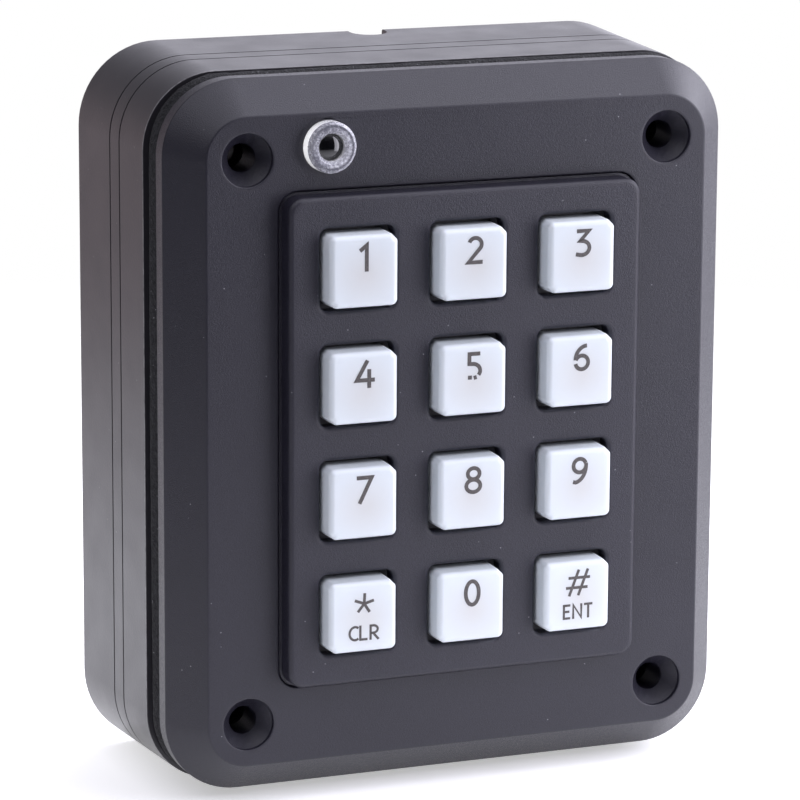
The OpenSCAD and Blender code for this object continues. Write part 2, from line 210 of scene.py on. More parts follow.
def outline(corners, grow=0.0, n=8):
    """Closed outline of (x, z, radius) corners, anticlockwise, grown all round."""
    at = [Vector(c[:2]) for c in corners]
    count = len(at)
    sides = [(at[(i + 1) % count] - at[i]).normalized() for i in range(count)]
    out = [Vector((s.y, -s.x)) for s in sides]
    moved = []
    for i in range(count):
        a, b = out[i - 1], out[i]
        moved.append(at[i] + (a + b) * (grow / (1 + a.dot(b))))
    points = []
    for i in range(count):
        r = max(corners[i][2] + grow, 0.05)
        points += turned(moved[i - 1], moved[i], moved[(i + 1) % count], r, n)
    return [(p.x, p.y) for p in points]


def box_corners(hx, hz, r, x=0.0, z=0.0):
    return [(x + hx, z + hz, r), (x - hx, z + hz, r), (x - hx, z - hz, r), (x + hx, z - hz, r)]


def profile(points, n=4):
    """Open line of (grow, depth) points, rounded where a third value gives a radius."""
    line = []
    for i, p in enumerate(points):
        if len(p) == 3 and 0 < i < len(points) - 1:
            before, at, after = Vector(points[i - 1][:2]), Vector(p[:2]), Vector(points[i + 1][:2])
            line += [(q.x, q.y) for q in turned(before, at, after, p[2], n)]
        else:
            line.append((p[0], p[1]))
    return line


# ---------------------------------------------------------------- solids


class Solid:
    """Mesh made of loops of equal length, bands between them and filled planes."""

    def __init__(self):
        self.bm = bmesh.new()

    def loop(self, points, depth):
        return [self.bm.verts.new((x * MM, -depth * MM, z * MM)) for x, z in points]

    def band(self, a, b):
        for i in range(len(a)):
            j = (i + 1) % len(a)
            self.bm.faces.new((a[i], a[j], b[j], b[i]))

    def sweep(self, shape, line):
        """Loops of shape(grow) at each (grow, depth) of a line. Gives the first and last loop."""
        loops = [self.loop(shape(g), d) for g, d in line]
        for a, b in zip(loops, loops[1:]):
            self.band(a, b)
        return loops[0], loops[-1]

    def fill(self, *loops):
        """Fills a plane between an outer loop and the holes in it."""
        edges = []
        for loop in loops:
            for i in range(len(loop)):
                pair = (loop[i], loop[(i + 1) % len(loop)])
                edges.append(self.bm.edges.get(pair) or self.bm.edges.new(pair))
        bmesh.ops.triangle_fill(self.bm, edges=edges, use_beauty=True, normal=(0, -1, 0))

    def lathe(self, cx, cz, line, n=48, closed=False):
        """Solid of revolution round (cx, cz) of a (radius, depth) line. An open line's ends are capped."""
        loops = [self.loop(circle(cx, cz, r, n), d) for r, d in line]
        for a, b in zip(loops, loops[1:] + (loops[:1] if closed else [])):
            self.band(a, b)
        if not closed:
            self.fill(loops[0])
            self.fill(loops[-1])

    def block(self, x0, x1, z0, z1, d0, d1):
        a, b = (self.loop([(x1, z1), (x0, z1), (x0, z0), (x1, z0)], d) for d in (d0, d1))
        self.band(a, b)
        self.bm.faces.new(a)
        self.bm.faces.new(b)

    def mesh(self, name):
        bmesh.ops.recalc_face_normals(self.bm, faces=self.bm.faces)
        made = bpy.data.meshes.new(name)
        self.bm.to_mesh(made)
        self.bm.free()
        return made


def link_object(name, data):
    made = bpy.data.objects.new(name, data)
    bpy.context.scene.collection.objects.link(made)
    return made


def show(name, solid, material, sharp=32.0):
    """Object of a Solid or mesh with smooth shading, hard edges and flat faces that stay flat."""
    mesh = solid.mesh(name) if isinstance(solid, Solid) else solid
    piece = link_object(name, mesh)
    mesh.materials.clear()
    mesh.materials.append(material)
    mesh.shade_smooth()
    mesh.set_sharp_from_angle(angle=math.radians(sharp))
    weighted = piece.modifiers.new("flat_faces", "WEIGHTED_NORMAL")
    weighted.keep_sharp = True
    return piece


def combined(mesh, *steps):
    """Mesh after exact joins with and cuts by other meshes, as (operation, mesh) steps."""
    work = link_object("work", mesh)
    helpers = []
    for operation, other in steps:
        helper = link_object("helper", other)
        helpers.append(helper)
        change = work.modifiers.new("step", "BOOLEAN")
        change.operation = operation
        change.solver = "EXACT"
        change.object = helper
    depsgraph = bpy.context.evaluated_depsgraph_get()
    result = bpy.data.meshes.new_from_object(work.evaluated_get(depsgraph))
    for helper in [work] + helpers:
        bpy.data.objects.remove(helper)
    return result


# ---------------------------------------------------------------- materials


class Nodes:
    """Node tree with short helpers."""

    def __init__(self, tree):
        self.tree = tree

    def node(self, kind, **values):
        made = self.tree.nodes.new("ShaderNode" + kind)
        for key, value in values.items():
            setattr(made, key, value)
        return made

    def link(self, a, b):
        self.tree.links.new(a, b)

    def math(self, operation, a, b):
        made = self.node("Math", operation=operation)
        for socket, value in zip(made.inputs, (a, b)):
            if isinstance(value, (int, float)):
                socket.default_value = value
            else:
                self.link(value, socket)
        return made.outputs[0]

    def vector_math(self, operation, a, b=None):
        made = self.node("VectorMath", operation=operation)
        self.link(a, made.inputs[0])
        if b is not None:
            made.inputs[1].default_value = b
        return made.outputs["Vector" if operation == "SUBTRACT" else "Value"]

    def split(self, vector):
        made = self.node("SeparateXYZ")
        self.link(vector, made.inputs[0])
        return made.outputs

    def tint(self, factor, a, b):
        """Colour between a and b; each is a colour or a socket."""
        made = self.node("Mix", data_type="RGBA")
        self.link(factor, made.inputs["Factor"])
        for key, value in ((6, a), (7, b)):
            if isinstance(value, tuple):
                made.inputs[key].default_value = (*value[:3], 1)
            else:
                self.link(value, made.inputs[key])
        return made.outputs[2]


class Finish(Nodes):
    """Node material. Distances are metres in object space."""

    def __init__(self, name, base, roughness, **sockets):
        self.material = bpy.data.materials.new(name)
        self.material.use_nodes = True
        super().__init__(self.material.node_tree)
        self.shader = self.tree.nodes["Principled BSDF"]
        self.shader.inputs["Base Color"].default_value = (*base, 1)
        self.shader.inputs["Roughness"].default_value = roughness
        for key, value in sockets.items():
            self.shader.inputs[key.replace("_", " ")].default_value = value
        self.place = self.node("TexCoord").outputs["Object"]

    def noise(self, scale, detail=3.0, rough=0.5):
        made = self.node("TexNoise")
        made.inputs["Scale"].default_value = scale
        made.inputs["Detail"].default_value = detail
        made.inputs["Roughness"].default_value = rough
        self.link(self.place, made.inputs["Vector"])
        return made.outputs["Fac"]

    def cells(self, scale):
        """Distance to the nearest of scattered points."""
        made = self.node("TexVoronoi", feature="F1")
        made.inputs["Scale"].default_value = scale
        self.link(self.place, made.inputs["Vector"])
        return made.outputs["Distance"]

    def dust(self, scale, size, least):
        """1 in small round specks, gathered where a slow noise is above a least value."""
        speck = self.math("LESS_THAN", self.cells(scale), size)
        return self.math("MULTIPLY", speck, self.math("GREATER_THAN", self.noise(scale * 0.44, 1), least))

    def remap(self, value, low, high, to_low=0.0, to_high=1.0):
        made = self.node("MapRange")
        self.link(value, made.inputs["Value"])
        for key, number in zip(("From Min", "From Max", "To Min", "To Max"), (low, high, to_low, to_high)):
            made.inputs[key].default_value = number
        return made.outputs["Result"]

    def cloud(self, scale, detail=3.0, rough=0.5, low=0.0, high=1.0):
        """Noise stretched from its middle part to a range."""
        return self.remap(self.noise(scale, detail, rough), 0.3, 0.7, low, high)

    def normal(self):
        return self.split(self.node("NewGeometry").outputs["Normal"])

    def color(self, socket):
        self.link(socket, self.shader.inputs["Base Color"])

    def roughness(self, socket):
        self.link(socket, self.shader.inputs["Roughness"])

    def bump(self, *layers):
        """Stacked bumps of (height, distance in metres)."""
        normal = None
        for height, distance in layers:
            made = self.node("Bump")
            made.inputs["Distance"].default_value = distance
            self.link(height, made.inputs["Height"])
            if normal:
                self.link(normal, made.inputs["Normal"])
            normal = made.outputs["Normal"]
        self.link(normal, self.shader.inputs["Normal"])


def textured_plastic(name, dark, light, grain, distance, rough, dust):
    """Moulded black plastic with spark-eroded grain, faint clouding and a few dust specks."""
    f = Finish(name, dark, rough[0])
    cloud = f.cloud(45, 4, 0.6)
    fine = f.noise(grain, 4, 0.65)
    shade = f.tint(cloud, dark, light)
    mottled = f.tint(f.remap(fine, 0.35, 0.75, 0, 0.5), shade, tuple(c * 2.0 for c in light))
    f.color(f.tint(f.dust(520, 0.055, dust), mottled, (0.20, 0.20, 0.21)))
    f.roughness(f.cloud(grain * 0.5, low=rough[0], high=rough[1]))
    f.bump((fine, distance))
    return f.material


def satin_plastic():
    """Smoother moulded plastic of the housing, with fine grain, dust and a painted highlight along its front
    edge.
    """
    f = Finish("housing_plastic", (0.030, 0.030, 0.033), 0.36)
    shade = f.tint(f.cloud(60, 4, 0.6), (0.019, 0.0178, 0.0215), (0.022, 0.0206, 0.0245))
    dusty = f.tint(f.dust(420, 0.05, 0.56), shade, (0.16, 0.16, 0.165))
    # painted highlight: a thin lighter band round the front edge, on faces not facing the front, broken up by
    # noise
    rim = f.math("LESS_THAN", f.split(f.place)["Y"], -(HOUSING.front - 0.22) * MM)
    edge = f.math("MULTIPLY", rim, f.math("GREATER_THAN", f.normal()["Y"], -0.9))
    painted_edge_highlight = f.math("MULTIPLY", edge, f.remap(f.noise(650, 3, 0.7), 0.3, 0.65, 0.25, 1.0))
    f.color(f.tint(painted_edge_highlight, dusty, (0.22, 0.215, 0.22)))
    f.roughness(f.cloud(140, 4, low=0.28, high=0.34))
    f.bump((f.noise(2600, 3), 0.00002))
    return f.material


def foam_material():
    """Black closed-cell foam with open pores and light specks."""
    f = Finish("closed_cell_foam", (0.012, 0.012, 0.013), 0.95)
    pores = f.cells(2300)
    rough = f.noise(1300, 5, 0.7)
    shade = f.tint(f.remap(rough, 0.35, 0.7), (0.006, 0.006, 0.007), (0.030, 0.030, 0.033))
    f.color(f.tint(f.dust(900, 0.10, 0.50), shade, (0.20, 0.20, 0.21)))
    f.bump((pores, 0.0002), (rough, 0.0003))
    return f.material


def key_material():
    """Milky translucent resin, greyer where the stem behind the face shades it."""
    f = Finish("milky_resin", (0.80, 0.83, 0.88), 0.30, Subsurface_Weight=0.3, Subsurface_Scale=0.001,
               IOR=1.48)
    f.shader.inputs["Subsurface Radius"].default_value = (1.0, 0.95, 0.9)
    spread = f.node("TexCoord").outputs["Generated"]
    glow = f.remap(f.vector_math("DISTANCE", spread, (0.52, 0.0, 0.47)), 0.04, 0.40)
    f.color(f.tint(glow, (0.650, 0.660, 0.654), (0.708, 0.758, 0.786)))
    f.roughness(f.cloud(1400, low=0.29, high=0.35))
    f.bump((f.noise(1700, 2), 0.000004))
    return f.material


def ink_material():
    f = Finish("legend_ink", (0.10, 0.09, 0.085), 0.5)
    f.color(f.tint(f.cloud(3600, 4, 0.7), (0.042, 0.037, 0.035), (0.125, 0.113, 0.108)))
    f.roughness(f.cloud(1500, 2, low=0.4, high=0.65))
    f.bump((f.noise(3000, 2), 0.00001))
    return f.material


def acrylic_material():
    """Clear ring with a mottled frosted face; its left side glows with painted light, and the face has painted
    shade at the left, lighter towards the lower right.
    """
    f = Finish("clear_acrylic", (0.93, 0.93, 0.95), 0.2, Transmission_Weight=0.25, IOR=1.49)
    front = f.remap(f.normal()["Y"], -0.35, -0.6)
    centre = (RING.x * MM, -RING.front * MM, RING.z * MM)
    spoke = f.vector_math("SUBTRACT", f.place, centre)
    flat = f.split(spoke)
    radius = f.vector_math("LENGTH", spoke)
    across = f.math("ADD", flat["X"], f.math("MULTIPLY", flat["Z"], -0.35))
    mottle = f.remap(f.noise(2300, 4, 0.7), 0.35, 0.65)
    clear = f.tint(mottle, (0.14, 0.14, 0.17), (0.42, 0.42, 0.47))
    lit_frosted_tone = f.tint(mottle, (0.34, 0.34, 0.39), (0.82, 0.82, 0.87))
    # painted light and shade: the face is painted darker at the left and lighter towards the lower right
    face = f.tint(f.remap(across, -2.6 * MM, 1.6 * MM), clear, lit_frosted_tone)
    off_line = f.math("ABSOLUTE", f.math("SUBTRACT", radius, RING_LINE_R * MM), 0.0)
    lined = f.tint(f.remap(off_line, 0.1 * MM, 0.35 * MM), (0.17, 0.17, 0.20), face)
    f.color(f.tint(front, (0.96, 0.96, 0.97), lined))
    # painted light: the ring's sides glow more towards the left, though the ring is not lit
    painted_glow = f.remap(flat["X"], 0.0, -4.0 * MM, 0.0, 0.42)
    f.link(f.math("MULTIPLY", painted_glow, f.math("SUBTRACT", 1.0, front)), f.shader.inputs["Emission Strength"])
    f.shader.inputs["Emission Color"].default_value = WHITE
    f.roughness(f.remap(mottle, 0, 1, 0.12, 0.36))
    f.bump((f.noise(2100, 3), 0.00004))
    return f.material


def lens_material():
    f = Finish("black_lens", (0.004, 0.004, 0.005), 0.06, Coat_Weight=1.0, Coat_Roughness=0.03)
    f.roughness(f.cloud(500, low=0.04, high=0.10))
    f.bump((f.noise(300, 2), 0.00001))
    return f.material


def rubber_material():
    f = Finish("silicone_rubber", (0.62, 0.64, 0.66), 0.55, Subsurface_Weight=0.2, Subsurface_Scale=0.001)
    f.color(f.tint(f.cloud(90), (0.58, 0.60, 0.62), (0.68, 0.70, 0.72)))
    f.roughness(f.cloud(600, low=0.48, high=0.65))
    f.bump((f.noise(1800, 2), 0.00002))
    return f.material


def board_material():
    """Green solder mask with tinned vias and raised copper tracks under it."""
    f = Finish("solder_mask", (0.012, 0.10, 0.035), 0.35)
    tracks = f.node("TexBrick", offset=0.37, squash=0.6)
    upright = f.node("Mapping")
    upright.inputs["Rotation"].default_value = (math.radians(90), 0, 0)
    f.link(f.place, upright.inputs["Vector"])
    f.link(upright.outputs["Vector"], tracks.inputs["Vector"])
    for key, number in (("Scale", 190.0), ("Mortar Size", 0.012), ("Brick Width", 1.7), ("Row Height", 0.23)):
        tracks.inputs[key].default_value = number
    track = tracks.outputs["Fac"]
    mask = f.tint(track, (0.010, 0.085, 0.030), (0.022, 0.17, 0.055))
    spots = f.cells(330)
    via = f.math("LESS_THAN", spots, 0.16)
    plated = f.math("GREATER_THAN", spots, 0.07)
    some = f.math("GREATER_THAN", f.noise(120, 1), 0.56)
    tinned = f.math("MULTIPLY", f.math("MULTIPLY", via, plated), some)
    f.color(f.tint(tinned, mask, (0.62, 0.60, 0.55)))
    f.link(f.math("MULTIPLY", tinned, 0.9), f.shader.inputs["Metallic"])
    f.roughness(f.cloud(500, low=0.26, high=0.42))
    f.bump((track, 0.00003), (f.noise(1500, 2), 0.00001))
    return f.material


def metal(name, base, rough):
    f = Finish(name, base, rough[0], Metallic=1.0)
    f.color(f.tint(f.cloud(700, 4), tuple(c * 0.82 for c in base), base))
    f.roughness(f.cloud(1700, 4, low=rough[0], high=rough[1]))
    f.bump((f.noise(2600, 3), 0.00001))
    return f.material


def moulded(name, base, rough, grain=1800, distance=0.00002):
    f = Finish(name, base, rough[0])
    f.color(f.tint(f.cloud(150), tuple(c * 0.8 for c in base), base))
    f.roughness(f.cloud(700, low=rough[0], high=rough[1]))
    f.bump((f.noise(grain, 3), distance))
    return f.material


def wound_wire():
    """Enamelled copper wire, wound in close turns."""
    f = Finish("enamelled_wire", (0.45, 0.16, 0.05), 0.3, Metallic=1.0)
    bands = f.node("TexWave", bands_direction="Y")
    bands.inputs["Scale"].default_value = 900
    bands.inputs["Distortion"].default_value = 0.6
    f.link(f.place, bands.inputs["Vector"])
    f.color(f.tint(bands.outputs["Fac"], (0.22, 0.07, 0.02), (0.60, 0.24, 0.08)))
    f.roughness(f.cloud(400, low=0.22, high=0.4))
    f.bump((bands.outputs["Fac"], 0.00012))
    return f.material


cover_plastic = textured_plastic(
    "cover_plastic", dark=(0.0096, 0.0090, 0.0150), light=(0.0128, 0.0120, 0.0195), grain=5200,
    distance=0.00006, rough=(0.30, 0.42), dust=0.60)
bezel_plastic = textured_plastic(
    "bezel_plastic", dark=(0.0112, 0.0105, 0.0172), light=(0.0155, 0.0147, 0.0232), grain=4600,
    distance=0.00008, rough=(0.32, 0.44), dust=0.58)
housing_plastic = satin_plastic()
foam = foam_material()
milky = key_material()
# Dark colour of each key's skirt and lip: painted shade for the gaps round the keys
painted_gap_shade = moulded("key_skirt_painted_shade", (0.10, 0.098, 0.105), (0.45, 0.6))
ink = ink_material()
acrylic = acrylic_material()
black_glass = lens_material()
rubber = rubber_material()

# ---------------------------------------------------------------- case


def front_cover():
    """Cover with its lip, chamfer, keypad opening, light ring's bore and four countersunk holes."""
    face = COVER.front
    rear = COVER.rear
    turn = rear + LIP_D
    inner = face - COVER_WALL
    inner_edge = -COVER_WALL - INNER_CHAMFER_W
    corners = box_corners(COVER.hx, COVER.hz, COVER_R)
    s = Solid()
    skin = profile([(-CHAMFER_W - 1, face), (-CHAMFER_W, face, 0.55), (0, turn, 0.4), (0, rear, 0.25),
                    (-COVER_WALL, rear, 0.2), (-COVER_WALL, turn - INNER_TURN, 0.5),
                    (inner_edge, inner, 0.5), (inner_edge - 1, inner)], 5)
    outside, inside = s.sweep(lambda g: outline(corners, g, 16), skin)
    mouth = box_corners(BEZEL.hx - FLANGE_W + MOUTH_GAP, BEZEL.hz - FLANGE_W + MOUTH_GAP, BEZEL_R + MOUTH_GAP)
    edge = profile([(0.6, face), (0, face, 0.3), (0, inner, 0.2), (0.6, inner)], 4)
    openings = [s.sweep(lambda g: outline(mouth, g, 8), edge)]
    sink = profile([(SINK_R + 0.5, face), (SINK_R, face, 0.22), (SINK_R, face - SINK_STEP, 0.1),
                    (HOLE_R, face - SINK_D, 0.1), (HOLE_R, rear, 0.2), (PILLAR_R, rear, 0.2),
                    (PILLAR_R, inner, 0.4), (PILLAR_R + 0.6, inner)], 4)
    for x, z in HOLES:
        openings.append(s.sweep(lambda r: circle(x, z, r, 56), sink))
    bore_r = RING.hx + RING_GAP
    bore = profile([(RING.hx + 0.4, face), (bore_r, face, 0.2), (bore_r, inner, 0.1), (RING.hx + 0.4, inner)], 3)
    openings.append(s.sweep(lambda r: circle(RING.x, RING.z, r, 48), bore))
    s.fill(outside, *(front for front, back in openings))
    s.fill(inside, *(back for front, back in openings))
    piece = show("cover_shell", s, cover_plastic)
    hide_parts("front_cover")
    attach(piece, "root")


def keypad_bezel():
    """Plate with twelve openings that stands through the cover, on a flange behind it."""
    face = BEZEL.front
    rear = BEZEL.rear
    inner = face - BEZEL_FACE_T
    shoulder = rear + FLANGE_T
    step = COVER.front - GROOVE_DEEP
    hx, hz = BEZEL.hx - FLANGE_W, BEZEL.hz - FLANGE_W
    corners = box_corners(hx, hz, BEZEL_R)
    s = Solid()
    skin = profile([(-1.6, face), (0, face, 0.85), (0, step, 0.1), (GROOVE_STEP_W, step, 0.15),
                    (GROOVE_STEP_W, shoulder)], 6)
    outside, neck = s.sweep(lambda g: outline(corners, g, 10), skin)
    flange = box_corners(BEZEL.hx, BEZEL.hz, BEZEL_R + 1)
    rim = profile([(-0.2, shoulder), (0, shoulder, 0.15), (0, rear, 0.15), (-0.6, rear)], 3)
    wide, base = s.sweep(lambda g: outline(flange, g, 10), rim)
    s.band(neck, wide)
    inside = box_corners(hx - BEZEL_WALL, hz - BEZEL_WALL, 1)
    well = profile([(0.3, rear), (0, rear, 0.15), (0, inner, 0.3), (-0.6, inner)], 3)
    opening, floor_loop = s.sweep(lambda g: outline(inside, g, 6), well)
    s.fill(base, opening)
    edge = profile([(1.0, face), (0, face, 0.7), (0, inner, 0.1), (0.2, inner)], 6)
    openings = []
    for cap in CAPS.values():
        hole = box_corners(*APERTURE, APERTURE_R, cap.x, cap.z)
        openings.append(s.sweep(lambda g: outline(hole, g, 6), edge))
    s.fill(outside, *(front for front, back in openings))
    s.fill(floor_loop, *(back for front, back in openings))
    piece = show("bezel_plate", s, bezel_plastic)
    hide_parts("keypad_bezel")
    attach(piece, "root")


def rear_housing():
    """Deep box with two fine grooves, four ribbed pillars, a cable entry and a channel up to the notch."""
    depth = HOUSING.front
    hx, hz = COVER.hx + BOX_OVER[0], COVER.hz + BOX_OVER[1]
    corners = box_corners(hx, hz, COVER_R)

    def lean(d):
        return BOX_DRAFT * (1 - d / depth)

    pocket_side = (-BOX_WALL, BOX_FLOOR + 4)
    points = [pocket_side, (-BOX_WALL, depth, 0.25), (0, depth, 0.16)]
    for at in reversed(GROOVES):
        front = at + GROOVE_W
        points += [(lean(front), front, 0.06), (lean(front) - GROOVE_W, front), (lean(at) - GROOVE_W, at),
                   (lean(at), at, 0.06)]
    points += [(lean(0), 0, 0.5), (lean(0) - 2, 0)]
    s = Solid()
    inside, rear = s.sweep(lambda g: outline(corners, g, 16), profile(points, 4))
    pocket = profile([pocket_side, (-BOX_WALL, BOX_FLOOR, 0.8), (-BOX_WALL - 1.5, BOX_FLOOR)], 4)
    loops = [s.loop(outline(corners, g, 16), d) for g, d in pocket[1:]]
    for a, b in zip([inside] + loops, loops):
        s.band(a, b)
    entry = box_corners(*ENTRY, 4)
    edge = profile([(0.6, 0), (0, 0, 0.35), (0, BOX_FLOOR, 0.2), (0.4, BOX_FLOOR)], 3)
    openings = [s.sweep(lambda g: outline(entry, g, 8), edge)]
    pillar = profile([(HOLE_R + 0.6, 0), (HOLE_R, 0, 0.25), (HOLE_R, depth, 0.2), (PILLAR_R, depth, 0.2),
                      (PILLAR_R, BOX_FLOOR, 0.5), (PILLAR_R + 1, BOX_FLOOR)], 3)
    for x, z in HOLES:
        openings.append(s.sweep(lambda r: circle(x, z, r, 40), pillar))
    s.fill(rear, *(back for back, front in openings))
    s.fill(loops[-1], *(front for back, front in openings))

    rib = Solid()
    half = NOTCH_W / 2
    rib.block(-half - RIB_T, half + RIB_T, ENTRY[1] + 0.01, hz - 1, 1, NOTCH_D + 1.8)
    channel = Solid()
    section = [(half, -1)] + arc(0, NOTCH_D - half, half, half, 0, 180, 24) + [(-half, -1)]
    ends = [[channel.bm.verts.new((x * MM, -d * MM, z * MM)) for x, d in section]
            for z in (ENTRY[1] - 1, hz + 2)]
    channel.band(*ends)
    for end in ends:
        channel.bm.faces.new(end)
    steps = [("UNION", rib.mesh("rib")), ("DIFFERENCE", channel.mesh("channel"))]
    for x, z in HOLES:
        for along_x in (True, False):
            web = Solid()
            toward = math.copysign(1, x if along_x else z)
            for side in (-toward, toward):
                near, far = sorted((side * WEB_NEAR, side * WEB_FAR))
                if along_x:
                    plan = (x + near, x + far, z - WEB_HALF, z + WEB_HALF)
                else:
                    plan = (x - WEB_HALF, x + WEB_HALF, z + near, z + far)
                web.block(*plan, 1.2, depth - 0.5)
            steps.append(("UNION", web.mesh("web")))
    piece = show("housing_shell", combined(s.mesh("shell"), *steps), housing_plastic)
    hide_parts("rear_housing")
    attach(piece, "root")


def foam_gasket():
    """Closed-cell foam that bulges in front of the housing's edge and is pinched under the cover's lip."""
    corners = box_corners(GASKET.hx, GASKET.hz, COVER_R - 0.5)

    def dense(grow):
        points = outline(corners, grow, 20)
        filled = []
        for i, p in enumerate(points):
            q = points[(i + 1) % len(points)]
            parts = max(1, round(math.dist(p, q) / FOAM_STEP))
            filled += [(p[0] + (q[0] - p[0]) * k / parts, p[1] + (q[1] - p[1]) * k / parts) for k in range(parts)]
        return filled

    s = Solid()
    loops = []
    points = dense(0)
    for grow, up in FOAM_SIDE:
        loop = []
        for x, z in points:
            d = GASKET.rear + up
            wave = noise.fractal(Vector((x * 0.9, d * 0.9, z * 0.9)), 0.6, 2.1, 3)
            inward = grow - 0.10 * (1 + max(-1.0, min(1.0, wave)))
            scale = 1 + inward / math.hypot(x, z)
            loop.append((x * scale, z * scale))
        loops.append(s.loop(loop, GASKET.rear + up))
    for a, b in zip(loops, loops[1:]):
        s.band(a, b)
    over, under = [s.loop(dense(-FOAM_WIDE), GASKET.rear + FOAM_SIDE[i][1]) for i in (-1, 0)]
    s.fill(loops[-1], over)
    s.fill(under, loops[0])
    s.band(over, under)
    rear, front = GASKET.rear + 0.1, GASKET.front - 0.1
    pad = profile([(PAD_BORE_R, rear), (PAD_R, rear, 0.3), (PAD_R, front, 0.3), (PAD_BORE_R, front)], 3)
    for x, z in HOLES:
        s.lathe(x, z, pad, 40, closed=True)
    piece = show("gasket_foam", s, foam, 60)
    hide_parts("gasket")
    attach(piece, "root")


def status_light():
    """Clear ring, and the shallow black dome in its middle."""
    front = RING.front
    outer, inner = RING.hx, RING_BORE_R
    s = Solid()
    section = profile([(inner, RING.rear + 1), (inner, RING.rear, 0.1), (outer, RING.rear, 0.15),
                       (outer, front - RING_EDGE, 0.2), (outer - RING_EDGE, front, 0.15),
                       (inner + RING_EDGE, front, 0.12), (inner, front - RING_EDGE, 0.12),
                       (inner, RING.rear + 1)], 4)
    s.lathe(RING.x, RING.z, section[:-1], 64, closed=True)
    ring = show("ring_acrylic", s, acrylic)
    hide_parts("light_ring")
    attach(ring, "root")
    r = SENSOR.hx
    ball = (r * r + DOME_RISE * DOME_RISE) / (2 * DOME_RISE)
    rim = math.asin(r / ball)
    section = profile([(r * 0.5, SENSOR.rear), (r, SENSOR.rear, 0.2), (r, SENSOR.front - DOME_RISE)], 3)
    turns = [rim * (1 - i / 14) for i in range(1, 14)]
    section += [(ball * math.sin(t), SENSOR.front - ball * (1 - math.cos(t))) for t in turns]
    s = Solid()
    s.lathe(SENSOR.x, SENSOR.z, section, 48)
    lens = show("sensor_lens", s, black_glass, 60)
    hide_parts("light_sensor")
    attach(lens, "root")


# ---------------------------------------------------------------- keypad


def keycap(key):
    """Hollow cap: milky front with two cut corners; its skirt and lip behind the bezel are painted dark, as shade
    for the gap round the key.
    """
    cap = CAPS[key]
    front = cap.front - INK_BACK
    lip_front = BEZEL.front - BEZEL_FACE_T - KEY_SLIDE_GAP
    lip_rear = lip_front - KEY_LIP_T
    seam = BEZEL.front - SKIRT_DEEP
    h, c = KEY_HALF, KEY_CUT
    x, z = cap.x, cap.z
    corners = [(x + h, z + h - c, CUT_R), (x + h - c, z + h, CUT_R), (x - h, z + h, KEY_R),
               (x - h, z - h + c, CUT_R), (x - h + c, z - h, CUT_R), (x + h, z - h, KEY_R)]
    s = Solid()
    skin = profile([(-1.6, front), (-0.14, front, 0.95), (0, seam), (0, seam - 0.2), (0, lip_front)], 7)
    face, neck = s.sweep(lambda g: outline(corners, g, 6), skin)
    s.fill(face)
    lip = box_corners(cap.hx, cap.hz, KEY_R, x, z)
    rim = profile([(-0.3, lip_front), (0, lip_front, 0.12), (0, lip_rear, 0.12), (-0.5, lip_rear)], 3)
    wide, base = s.sweep(lambda g: outline(lip, g, 6), rim)
    s.fill(neck, wide)
    pocket = box_corners(KEY_POCKET, KEY_POCKET, KEY_R, x, z)
    inside = profile([(0.3, lip_rear), (0, lip_rear, 0.12), (0, KEY_ROOF, 0.4), (-0.8, KEY_ROOF)], 3)
    opening, roof = s.sweep(lambda g: outline(pocket, g, 6), inside)
    s.fill(base, opening)
    stem = profile([(STEM_R + 0.6, KEY_ROOF), (STEM_R, KEY_ROOF, 0.4), (STEM_R, cap.rear, 0.15),
                    (STEM_R - 0.6, cap.rear)], 3)
    top, tip = s.sweep(lambda r: circle(x, z, r, 32), stem)
    s.fill(roof, top)
    s.fill(tip)
    piece = show("cap_" + key, s, milky, 50)
    piece.data.materials.append(painted_gap_shade)
    # faces behind the seam take the dark colour, painted shade for the gap round the key
    for polygon in piece.data.polygons:
        if polygon.center.y > -seam * MM:
            polygon.material_index = 1
    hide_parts("key_" + key)
    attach(piece, "button_" + key)


# Strokes of the signs and words, each a path of (x, z) points round the sign's own middle
SIGNS = {
    "1": [[(-0.95, 1.10), (0.22, 1.98), (0.22, -2.28)]],
    "2": [arc(-0.02, 0.93, 1.10, 1.07, 160, -30, 20) + [(-1.22, -1.98), (1.28, -1.98)]],
    "3": [[(-1.15, 1.98), (1.00, 1.98), (-0.52, 0.36)] + arc(-0.22, -0.83, 1.34, 1.17, 88, -98, 20)
          + [(-1.28, -1.82)]],
    "4": [[(0.42, 2.25), (-1.42, -0.97), (1.68, -0.97)], [(0.72, 0.80), (0.72, -2.28)]],
    "5": [[(1.02, 1.98), (-0.88, 1.98), (-0.88, 0.36)] + arc(-0.28, -0.84, 1.30, 1.16, 96, -38, 16),
          [(0.42, -1.88), (-0.10, -2.02)], [(-0.42, -1.92), (-1.12, -1.90)]],
    "6": [arc(1.02, -0.42, 2.10, 2.36, 92, 180, 16), arc(0.06, -0.84, 1.14, 1.14, 190, 520, 30)],
    "7": [[(-1.38, 1.98), (1.22, 1.98), (-0.88, -2.28)]],
    "8": [arc(0.05, 1.06, 1.04, 0.93, 0, 360, 28), arc(0.0, -0.98, 1.24, 1.04, 0, 360, 30)],
    "9": [arc(-0.02, 0.84, 1.13, 1.14, 20, 350, 30),
          arc(-1.04, 0.84, 2.16, 2.84, 8, -82, 18) + [(-1.20, -1.86)]],
    "0": [arc(0, 0, 1.16, 1.98, 0, 360, 40)],
    "star": [[(0, 0), (1.75 * math.sin(math.radians(a)), 1.75 * math.cos(math.radians(a)))]
             for a in (3, 75, 147, 219, 291)],
    "hash": [[(0.10, 2.20), (-1.62, -2.24)], [(1.74, 2.24), (0.02, -2.20)],
             [(-1.76, 0.84), (2.14, 0.84)], [(-2.20, -0.84), (1.72, -0.84)]],
}
